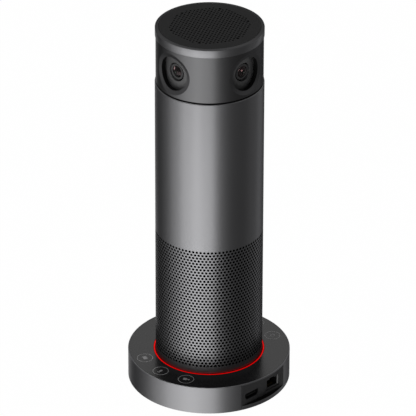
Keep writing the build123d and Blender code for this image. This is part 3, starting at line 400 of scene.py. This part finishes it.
NODE_FINISH = {
    "foot_pad": "rubber", "bottom_cover": "soft_black", "bottom_screws": "steel",
    "ballast_plate": "dark_steel", "base_ring": "body", "base_chassis": "black",
    "base_top_plate": "plate", "touch_marks": "print", "touch_board": "board",
    "light_ring": "light", "lamp_board": "board", "lamps": "lamp", "port_board": "board",
    "display_shell": "dark_shell", "display_tongue": "dark_shell", "network_shield": "dark_steel",
    "network_body": "dark_shell", "network_contacts": "gold", "flat_cable": "cable",
    "board_parts": "chip", "column_frame": "black", "body_sleeve": "body",
    "sleeve_cloth": "cloth", "sound_diffuser": "soft_black", "speaker_basket": "dark_steel",
    "speaker_surround": "rubber", "speaker_cone": "paper", "voice_coil": "copper",
    "speaker_magnet": "ferrite", "speaker_irons": "steel", "speaker_box": "black",
    "upper_frame": "black", "tie_rods": "steel", "processor_board": "board",
    "heat_sink": "aluminium", "neck_plate": "liner", "drum_motor": "steel",
    "motor_shaft": "steel", "drive_pinion": "nylon", "head_post": "steel",
    "drum_liner": "liner", "head_shell": "head", "mic_carrier": "black",
    "mic_board": "board", "microphones": "aluminium", "mic_gaskets": "rubber",
    "grille_cloth": "mic_cloth", "cap_ring": "body", "top_grille": "grille",
    "lens_drum": "drum", "drum_gear": "nylon", "drum_bush": "brass",
    "lens_barrel_right": "barrel", "lens_barrel_back": "barrel", "lens_barrel_left": "barrel",
    "lens_barrel_front": "barrel", "lens_front_glasses": "glass", "lens_rear_glasses": "glass",
    "sensor_boards": "board",
}


# Modelling


def deselect_all():
    """Leaves nothing selected, so that an operator acts on one piece only."""
    for obj in bpy.context.selected_objects:
        obj.select_set(False)


def make_active(obj):
    """Makes one piece the only one selected."""
    deselect_all()
    obj.select_set(True)
    bpy.context.view_layer.objects.active = obj


def edit(obj):
    """Enters edit mode on one piece with everything in it selected."""
    make_active(obj)
    bpy.ops.object.mode_set(mode="EDIT")
    bpy.ops.mesh.select_mode(type="VERT")
    bpy.ops.mesh.select_all(action="SELECT")


def leave_edit():
    """Goes back to object mode."""
    bpy.ops.object.mode_set(mode="OBJECT")


def select_where(obj, kind, test):
    """Selects the vertices, edges or faces of a mesh that pass a test, in object mode."""
    mesh = obj.data
    for group in (mesh.vertices, mesh.edges, mesh.polygons):
        group.foreach_set("select", [False] * len(group))
    for item in getattr(mesh, kind):
        item.select = test(item)


def smooth(obj, angle):
    """Smooths all edges that turn by less than an angle in degrees."""
    make_active(obj)
    bpy.ops.object.shade_smooth_by_angle(angle=radians(angle))


def apply_modifier(obj, kind, **settings):
    """Adds a modifier with its settings and applies it."""
    make_active(obj)
    step = obj.modifiers.new(kind, kind)
    for key, value in settings.items():
        setattr(step, key, value)
    bpy.ops.object.modifier_apply(modifier=step.name)


def repeat(obj, count, step):
    """Repeats a piece in even steps and merges the copies where they meet."""
    apply_modifier(obj, "ARRAY", count=count, use_relative_offset=False,
                   use_constant_offset=True, constant_offset_displace=step,
                   use_merge_vertices=True, merge_threshold=MERGE)


def tidy_mesh(obj):
    """Merges doubles and turns the faces outward."""
    edit(obj)
    bpy.ops.mesh.remove_doubles(threshold=MERGE)
    bpy.ops.mesh.normals_make_consistent(inside=False)
    leave_edit()


def turned(name, profile):
    """Turned piece: one point is drawn out along a closed profile and spun round the axis."""
    points = [Vector((radius * MM, 0, height * MM)) for radius, height in profile]
    deselect_all()
    bpy.ops.mesh.primitive_plane_add(size=MM)
    obj = bpy.context.object
    obj.name = name
    obj.data.name = name
    edit(obj)
    bpy.ops.mesh.merge(type="CENTER")
    bpy.ops.transform.translate(value=points[0])
    for here, there in zip(points, points[1:] + points[:1]):
        bpy.ops.mesh.extrude_region_move(TRANSFORM_OT_translate={"value": there - here})
    bpy.ops.mesh.select_all(action="SELECT")
    bpy.ops.mesh.remove_doubles(threshold=MERGE / 10)
    bpy.ops.mesh.select_all(action="SELECT")
    bpy.ops.mesh.spin(steps=ROUND_STEPS, angle=2 * pi, center=(0, 0, 0), axis=(0, 0, 1))
    leave_edit()
    tidy_mesh(obj)
    return obj


def round_edges(obj, width, segments=3, angle=30):
    """Rounds the sharp edges."""
    apply_modifier(obj, "BEVEL", width=width, segments=segments, limit_method="ANGLE",
                   angle_limit=radians(angle), use_clamp_overlap=True)


def true_normals(obj, faceted=False):
    """Gives corners on upright round walls the wall's direction, and on flats the flat's."""
    mesh = obj.data
    directions = [Vector(corner.vector) for corner in mesh.corner_normals]
    for face in mesh.polygons:
        if faceted:
            for corner in face.loop_indices:
                directions[corner] = face.normal.copy()
        corners = [(i, mesh.vertices[mesh.loops[i].vertex_index].co) for i in face.loop_indices]
        radii = [Vector((at.x, at.y)).length for _, at in corners]
        on_wall = min(radii) > WALL_LEAST and max(radii) - min(radii) < NEAR_WALL
        side = face.normal.dot(Vector((face.center.x, face.center.y, 0)).normalized())
        for corner, at in corners:
            if abs(face.normal.z) > FACE_FLAT:
                directions[corner] = face.normal.copy()
            elif on_wall and abs(side) > WALL_UPRIGHT:
                outward = Vector((at.x, at.y, 0)).normalized()
                directions[corner] = outward * (1 if side > 0 else -1)
    mesh.normals_split_custom_set(directions)


def dressed_copy(node, name, angle=14):
    """Copy of a CAD node's mesh, merged and smoothed, that stands for the node."""
    source = frame["nodes"][node]
    obj = bpy.data.objects.new(name, source.data.copy())
    bpy.context.scene.collection.objects.link(obj)
    edit(obj)
    bpy.ops.mesh.remove_doubles(threshold=MERGE)
    leave_edit()
    smooth(obj, angle)
    true_normals(obj, node in FACETED)
    return obj


def body_of(node):
    """Body of the record that a node moves with."""
    for body, members in frame["record"]["behaviour"]["bodies"].items():
        if node in members:
            return body
    raise RuntimeError(f"no body holds {node}")


def stand_for(obj, node, own_finish=False):
    """Gives a piece its finish, its body and the node that it stands for."""
    if not own_finish:
        obj.data.materials.clear()
        obj.data.materials.append(FINISHES[NODE_FINISH[node]])
    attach(obj, body_of(node))
    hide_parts(node)


def darken_recess_and_shade_sill(obj):
    """Gives the socket recess of the base its dark finish, and paints its sill near black as the
    shade that lies on that ledge.
    """
    obj.data.materials.append(FINISHES["soft_black"])
    obj.data.materials.append(FINISHES["liner"])
    for face in obj.data.polygons:
        at = face.center
        inside = at.x > PORT_FACE - RECESS_DEEP and abs(at.y) < RECESS_HALF_WIDE
        # The sill's near black is painted shade on the ledge
        if inside and face.normal.z > 0.99 and abs(at.z - SILL_HIGH) < 0.1 * MM:
            face.material_index = 2
        elif inside and SILL_HIGH < at.z < RECESS_HIGH and at.x < PORT_FACE + 0.1 * MM:
            face.material_index = 1


def lift_print(obj):
    """Lifts the top of the key print a hair above the plate that it lies flush in."""
    top = max(vertex.co.z for vertex in obj.data.vertices)
    for vertex in obj.data.vertices:
        if vertex.co.z > top - PRINT_LIFT:
            vertex.co.z = top + PRINT_LIFT


def paint_shade_in_middle_holes(obj):
    """Paints the walls of the grille's open holes black as shade in them, inside the hole of the
    cloth.
    """
    obj.data.materials.append(FINISHES["hole_wall"])
    cloth = frame["nodes"]["grille_cloth"].data
    open_radius = min(vertex.co.xy.length for vertex in cloth.vertices)
    for face in obj.data.polygons:
        if abs(face.normal.z) < 0.5 and face.center.xy.length < open_radius:
            face.material_index = 1


def paint_rim_shade(obj):
    """Paints shade on the cap ring's sloping rim by giving it the head's darker finish."""
    obj.data.materials.append(FINISHES["head"])
    for face in obj.data.polygons:
        if face.center.z > RIM_LOW and face.normal.z > 0.3:
            face.material_index = 1


def paint_shield_edge_highlight(obj):
    """Paints a highlight on the right edge of the network socket's shield with a bright plated
    finish, where it catches the light.
    """
    obj.data.materials.append(FINISHES["shell"])
    side = max(vertex.co.y for vertex in obj.data.vertices) - SHIELD_EDGE_WIDE
    front = max(vertex.co.x for vertex in obj.data.vertices) - SHIELD_EDGE_DEEP
    for face in obj.data.polygons:
        if face.center.y > side and face.center.x > front:
            face.material_index = 1


def hole_cell():
    """One sound hole in its flat rectangle, drawn out from the hole to the cell's border."""
    size = sizes()
    width = 2 * pi * SLEEVE_RADIUS / size.hole_columns
    half, rise = width / 2, size.row_step / 2
    border = [
        (half, 0), (half, rise), (half / 2, rise), (0, rise), (-half / 2, rise), (-half, rise)]
    border += [(-x, -y) for x, y in border]
    deselect_all()
    bpy.ops.mesh.primitive_circle_add(
        vertices=len(border), radius=size.hole_radius, fill_type="NOTHING")
    obj = bpy.context.object
    edit(obj)
    bpy.ops.mesh.extrude_region_move(TRANSFORM_OT_translate={"value": (0, 0, 0)})
    leave_edit()
    for vertex in [vertex for vertex in obj.data.vertices if vertex.select]:
        turn = Vector((vertex.co.x, vertex.co.y)).angle_signed(Vector((1, 0)))
        x, y = border[round(turn / (2 * pi) * len(border)) % len(border)]
        vertex.co = (x, y, 0)
    return obj, width


def roll_up(obj, radius):
    """Rolls a flat sheet, drawn along X and Y, round the column's axis."""
    for vertex in obj.data.vertices:
        turn = vertex.co.x / radius + FIRST_HOLE
        vertex.co = (radius * cos(turn), radius * sin(turn), vertex.co.y)
    obj.data.update()


def extend_edge(obj, edge_z, goal):
    """Draws the sheet's open edge at one height out to another, as a plain band."""
    if abs(goal - edge_z) < LEVEL:
        return
    select_where(obj, "vertices", lambda vertex: abs(vertex.co.z - edge_z) < LEVEL)
    make_active(obj)
    bpy.ops.object.mode_set(mode="EDIT")
    bpy.ops.mesh.select_mode(type="VERT")
    leave_edit()
    mesh = obj.data
    for line in mesh.edges:
        line.select = all(mesh.vertices[end].select for end in line.vertices)
    bpy.ops.object.mode_set(mode="EDIT")
    bpy.ops.mesh.extrude_edges_move(TRANSFORM_OT_translate={"value": (0, 0, goal - edge_z)})
    leave_edit()


def sleeve_sheet(name, rows, top_row, low, high):
    """Stretch of the sleeve with rows of holes, rolled up and given its wall."""
    size = sizes()
    obj, width = hole_cell()
    obj.name = name
    obj.data.name = name
    repeat(obj, size.hole_columns, (width, 0, 0))
    make_active(obj)
    bpy.ops.object.duplicate()
    second = bpy.context.object
    edit(second)
    bpy.ops.transform.translate(value=(width / 2, -size.row_step, 0))
    leave_edit()
    for part, count in ((obj, (rows + 1) // 2), (second, rows // 2)):
        repeat(part, count, (0, -2 * size.row_step, 0))
    make_active(obj)
    second.select_set(True)
    bpy.ops.object.join()
    edit(obj)
    bpy.ops.transform.translate(value=(0, top_row, 0))
    leave_edit()
    roll_up(obj, SLEEVE_RADIUS)
    edit(obj)
    bpy.ops.mesh.remove_doubles(threshold=2 * MERGE)
    leave_edit()
    extend_edge(obj, top_row + size.row_step / 2, high)
    extend_edge(obj, top_row - (rows - 0.5) * size.row_step, low)
    tidy_mesh(obj)
    # The hole walls and the sleeve's inner side get the near black finish as painted shade inside
    # the holes; the top face keeps the body metal
    obj.data.materials.append(FINISHES["body"])
    obj.data.materials.append(FINISHES["hole_wall"])
    apply_modifier(obj, "SOLIDIFY", thickness=SLEEVE_WALL, offset=-1, use_even_offset=False,
                   material_offset_rim=1, material_offset=1)
    for face in obj.data.polygons:
        if face.center.z > high - NEAR_WALL:
            face.material_index = 0
    return obj


def round_top(obj):
    """Rounds the outer edge at the top of the sleeve."""
    corners = obj.data.vertices
    select_where(obj, "edges", lambda line: all(
        abs(corners[end].co.z - SLEEVE_HIGH) < LEVEL
        and corners[end].co.xy.length > SLEEVE_RADIUS - NEAR_WALL
        for end in line.vertices))
    make_active(obj)
    bpy.ops.object.mode_set(mode="EDIT")
    bpy.ops.mesh.select_mode(type="EDGE")
    bpy.ops.mesh.bevel(offset=SLEEVE_ROUND, segments=4, affect="EDGES")
    leave_edit()


class MESH_OT_camera_sleeve(bpy.types.Operator):
    """Builds the column's sleeve with its sound holes, in an upper and a lower stretch"""

    bl_idname = "mesh.camera_sleeve"
    bl_label = "Column sleeve"

    def execute(self, context):
        size = sizes()
        upper_rows = size.hole_rows // 2
        split = size.top_row - (upper_rows - 0.5) * size.row_step
        upper = sleeve_sheet("sleeve_upper", upper_rows, size.top_row, split, SLEEVE_HIGH)
        lower_rows = size.hole_rows - upper_rows
        lower_top = size.top_row - upper_rows * size.row_step
        lower = sleeve_sheet("sleeve_lower", lower_rows, lower_top, SLEEVE_LOW, split)
        round_top(upper)
        for obj in (upper, lower):
            smooth(obj, 40)
            stand_for(obj, "body_sleeve", own_finish=True)
        return {"FINISHED"}


def dress(*nodes):
    """Makes the pieces that stand for some nodes from clean copies of them."""
    pieces = []
    for node in nodes:
        piece = dressed_copy(node, f"{node}_piece")
        stand_for(piece, node)
        pieces.append(piece)
    return pieces


class MESH_OT_camera_base(bpy.types.Operator):
    """Dresses the base's ring, touch plate, key print and cover"""

    bl_idname = "mesh.camera_base"
    bl_label = "Base"

    def execute(self, context):
        ring, marks = dress("base_ring", "touch_marks", "base_top_plate", "bottom_cover")[:2]
        darken_recess_and_shade_sill(ring)
        lift_print(marks)
        return {"FINISHED"}


class MESH_OT_camera_head(bpy.types.Operator):
    """Dresses the head's shell with its windows, the liner, the seam and the grille"""

    bl_idname = "mesh.camera_head"
    bl_label = "Head"

    def execute(self, context):
        grille = dress("top_grille", "head_shell", "drum_liner", "neck_plate")[0]
        # The grille's open holes get painted shade on their walls
        paint_shade_in_middle_holes(grille)
        return {"FINISHED"}


class MESH_OT_camera_lenses(bpy.types.Operator):
    """Dresses the lens drum, the four barrels and their glasses"""

    bl_idname = "mesh.camera_lenses"
    bl_label = "Lenses"

    def execute(self, context):
        sides = ("right", "back", "left", "front")
        dress("lens_drum", "lens_front_glasses", *(f"lens_barrel_{side}" for side in sides))
        return {"FINISHED"}


class MESH_OT_camera_sockets(bpy.types.Operator):
    """Dresses the display socket and the network socket"""

    bl_idname = "mesh.camera_sockets"
    bl_label = "Sockets"

    def execute(self, context):
        shield = dress("network_shield", "network_body", "display_shell", "display_tongue")[0]
        # The shield's right edge gets a painted highlight
        paint_shield_edge_highlight(shield)
        return {"FINISHED"}


class MESH_OT_camera_rings(bpy.types.Operator):
    """Turns the cap band, the light ring and the foot, with rounded edges"""

    bl_idname = "mesh.camera_rings"
    bl_label = "Turned rings"

    def execute(self, context):
        for node, profile in TURNED_RINGS.items():
            piece = turned(f"{node}_piece", profile)
            round_edges(piece, sizes().edge_round if node != "foot_pad" else FOOT_ROUND)
            smooth(piece, 40)
            stand_for(piece, node)
            # The cap ring's sloping rim gets painted shade
            if node == "cap_ring":
                paint_rim_shade(piece)
        return {"FINISHED"}


class MESH_OT_camera_inner(bpy.types.Operator):
    """Gives every solid that stays its finish"""

    bl_idname = "mesh.camera_inner"
    bl_label = "Inner parts"

    def execute(self, context):
        for node, obj in frame["nodes"].items():
            obj.data.materials.clear()
            obj.data.materials.append(FINISHES[NODE_FINISH[node]])
        return {"FINISHED"}


# Stage


def stage_light(name, turn, height, distance, width, length, power,
                aim_height=0.15, colour=(1, 1, 1)):
    """Soft lamp at an angle to the view, aimed at the object."""
    angle = radians(turn - 45)
    place = Vector((distance * cos(angle), distance * sin(angle), height))
    lamp = bpy.data.lights.new(name, "AREA")
    lamp.shape = "RECTANGLE"
    lamp.size, lamp.size_y = width, length
    lamp.energy = power
    lamp.color = colour
    obj = bpy.data.objects.new(name, lamp)
    aim = Vector((0, 0, aim_height)) - place
    facing = aim.to_track_quat("-Z", "Y").to_matrix().to_4x4()
    obj.matrix_world = Matrix.Translation(place) @ facing
    bpy.context.scene.collection.objects.link(obj)
    return obj


def stage_surface(name, colour, camera_white, gloss_white):
    """Pale surface, white to the view and partly to gloss and glass, that still takes shadow."""
    finish = bpy.data.materials.new(name)
    finish.use_nodes = True
    tree = finish.node_tree
    tree.nodes.clear()
    out = tree.nodes.new("ShaderNodeOutputMaterial")
    matt = tree.nodes.new("ShaderNodeBsdfDiffuse")
    matt.inputs["Color"].default_value = (colour, colour, colour, 1)
    glow = tree.nodes.new("ShaderNodeEmission")
    glow.inputs["Strength"].default_value = 1.0
    path = tree.nodes.new("ShaderNodeLightPath")
    mix = tree.nodes.new("ShaderNodeMixShader")
    tree.links.new(white_share(tree, path, camera_white, gloss_white, 0), mix.inputs[0])
    tree.links.new(matt.outputs[0], mix.inputs[1])
    tree.links.new(glow.outputs[0], mix.inputs[2])
    tree.links.new(mix.outputs[0], out.inputs["Surface"])
    return finish


def white_share(tree, path, camera_white, gloss_white, rest):
    """How white the backdrop is to each kind of ray."""
    total = None
    for ray, white in (("Is Camera Ray", camera_white), ("Is Glossy Ray", gloss_white),
                       ("Is Transmission Ray", gloss_white)):
        part = tree.nodes.new("ShaderNodeMath")
        part.operation = "MULTIPLY_ADD"
        part.inputs[2].default_value = rest
        tree.links.new(path.outputs[ray], part.inputs[0])
        if isinstance(white, bpy.types.NodeSocket):
            tree.links.new(white, part.inputs[1])
        else:
            part.inputs[1].default_value = white - rest
        if total is not None:
            tree.links.new(total, part.inputs[2])
        total = part.outputs[0]
    return total


def backdrop_world(scene):
    """White backdrop, which gloss and glass see as a paler and a darker side of a room."""
    world = bpy.data.worlds.new("backdrop")
    scene.world = world
    world.use_nodes = True
    tree = world.node_tree
    back = tree.nodes["Background"]
    back.inputs["Color"].default_value = (1, 1, 1, 1)
    place = tree.nodes.new("ShaderNodeTexCoord")
    part = tree.nodes.new("ShaderNodeSeparateXYZ")
    tree.links.new(place.outputs["Generated"], part.inputs[0])
    above = tree.nodes.new("ShaderNodeMapRange")
    for key, value in (("From Min", -HORIZON), ("From Max", HORIZON),
                       ("To Min", GLOSS_BELOW - ROOM_LEVEL)):
        above.inputs[key].default_value = value
    tree.links.new(part.outputs["Z"], above.inputs["Value"])
    away = tree.nodes.new("ShaderNodeMath")
    away.operation = "SUBTRACT"
    tree.links.new(part.outputs["Y"], away.inputs[0])
    tree.links.new(part.outputs["X"], away.inputs[1])
    depth = tree.nodes.new("ShaderNodeMapRange")
    for key, value in (("From Min", -1.0), ("From Max", 1.0), ("To Min", GLOSS_FRONT - ROOM_LEVEL),
                       ("To Max", GLOSS_ABOVE - ROOM_LEVEL)):
        depth.inputs[key].default_value = value
    tree.links.new(away.outputs[0], depth.inputs["Value"])
    tree.links.new(depth.outputs["Result"], above.inputs["To Max"])
    path = tree.nodes.new("ShaderNodeLightPath")
    level = white_share(tree, path, 1.0, above.outputs["Result"], ROOM_LEVEL)
    tree.links.new(level, back.inputs["Strength"])


def set_view(scene):
    """Sets the view that the photograph was taken from."""
    size = sizes()
    view = bpy.data.cameras.new("view")
    view.lens = VIEW_LENS
    view.shift_x, view.shift_y = VIEW_SHIFT
    view.clip_end = VIEW_END
    flat = cos(VIEW_RISE)
    way = Vector((flat * cos(VIEW_TURN), flat * sin(VIEW_TURN), sin(VIEW_RISE)))
    place = Vector((0, 0, size.view_height)) + size.view_distance * way
    facing = (-way).to_track_quat("-Z", "Y").to_matrix().to_4x4()
    camera = bpy.data.objects.new("view", view)
    camera.matrix_world = Matrix.Translation(place) @ facing @ Matrix.Rotation(VIEW_ROLL, 4, "Z")
    scene.collection.objects.link(camera)
    scene.camera = camera


class SCENE_OT_camera_stage(bpy.types.Operator):
    """Sets the floor, the soft lights and the view"""

    bl_idname = "scene.camera_stage"
    bl_label = "Stage"

    def execute(self, context):
        scene = context.scene
        scene.view_settings.view_transform = "Standard"
        deselect_all()
        bpy.ops.mesh.primitive_plane_add(size=FLOOR_SIZE)
        floor = context.object
        floor.name = "floor"
        floor.data.materials.append(
            stage_surface("pale_floor", FLOOR_PALE, FLOOR_WHITE, FLOOR_GLOSS))
        floor.visible_glossy = False
        floor.visible_shadow = False
        backdrop_world(scene)
        for number, (turn, power) in enumerate(SOFT_PANELS):
            stage_light(f"panel_{number}", turn, PANEL_HEIGHT, LIGHT_DISTANCE,
                        PANEL_WIDE, PANEL_LONG, power)
        glasses = bpy.data.collections.new("lens_glasses")
        glasses.objects.link(bpy.data.objects["lens_front_glasses_piece"])
        for number, (turn, height, power) in enumerate(GLINTS):
            lamp = stage_light(f"glint_{number}", turn, height, LIGHT_DISTANCE,
                               GLINT_SIZE, GLINT_SIZE, power, LENS_HEIGHT, GLINT_COLOUR)
            lamp.light_linking.receiver_collection = glasses
        stage_light("top_light", *TOP_LIGHT)
        set_view(scene)
        return {"FINISHED"}


class VIEW3D_PT_camera_looks(bpy.types.Panel):
    """Lists the sizes, the colours and the steps"""

    bl_label = "Conference camera"
    bl_space_type = "VIEW_3D"
    bl_region_type = "UI"
    bl_category = "Camera"

    def draw(self, context):
        for group in (context.scene.camera_sizes, context.scene.camera_colours):
            for key in group.__annotations__:
                self.layout.prop(group, key)
        for step in STEPS:
            self.layout.operator(step.bl_idname)


STEPS = (
    MESH_OT_camera_inner, MESH_OT_camera_sleeve, MESH_OT_camera_base, MESH_OT_camera_head,
    MESH_OT_camera_lenses, MESH_OT_camera_sockets, MESH_OT_camera_rings,
    SCENE_OT_camera_stage,
)
CLASSES = (CameraSizes, CameraColours, *STEPS, VIEW3D_PT_camera_looks)


def register():
    """Registers the classes and hangs the settings on the scene."""
    for item in CLASSES:
        bpy.utils.register_class(item)
    bpy.types.Scene.camera_sizes = bpy.props.PointerProperty(type=CameraSizes)
    bpy.types.Scene.camera_colours = bpy.props.PointerProperty(type=CameraColours)


def unregister():
    """Takes away what register adds."""
    del bpy.types.Scene.camera_colours
    del bpy.types.Scene.camera_sizes
    for item in reversed(CLASSES):
        bpy.utils.unregister_class(item)


def main():
    """Runs every step in order."""
    register()
    make_finishes()
    bpy.ops.mesh.camera_inner()
    bpy.ops.mesh.camera_sleeve()
    bpy.ops.mesh.camera_base()
    bpy.ops.mesh.camera_head()
    bpy.ops.mesh.camera_lenses()
    bpy.ops.mesh.camera_sockets()
    bpy.ops.mesh.camera_rings()
    bpy.ops.scene.camera_stage()


if __name__ == "__main__":
    main()
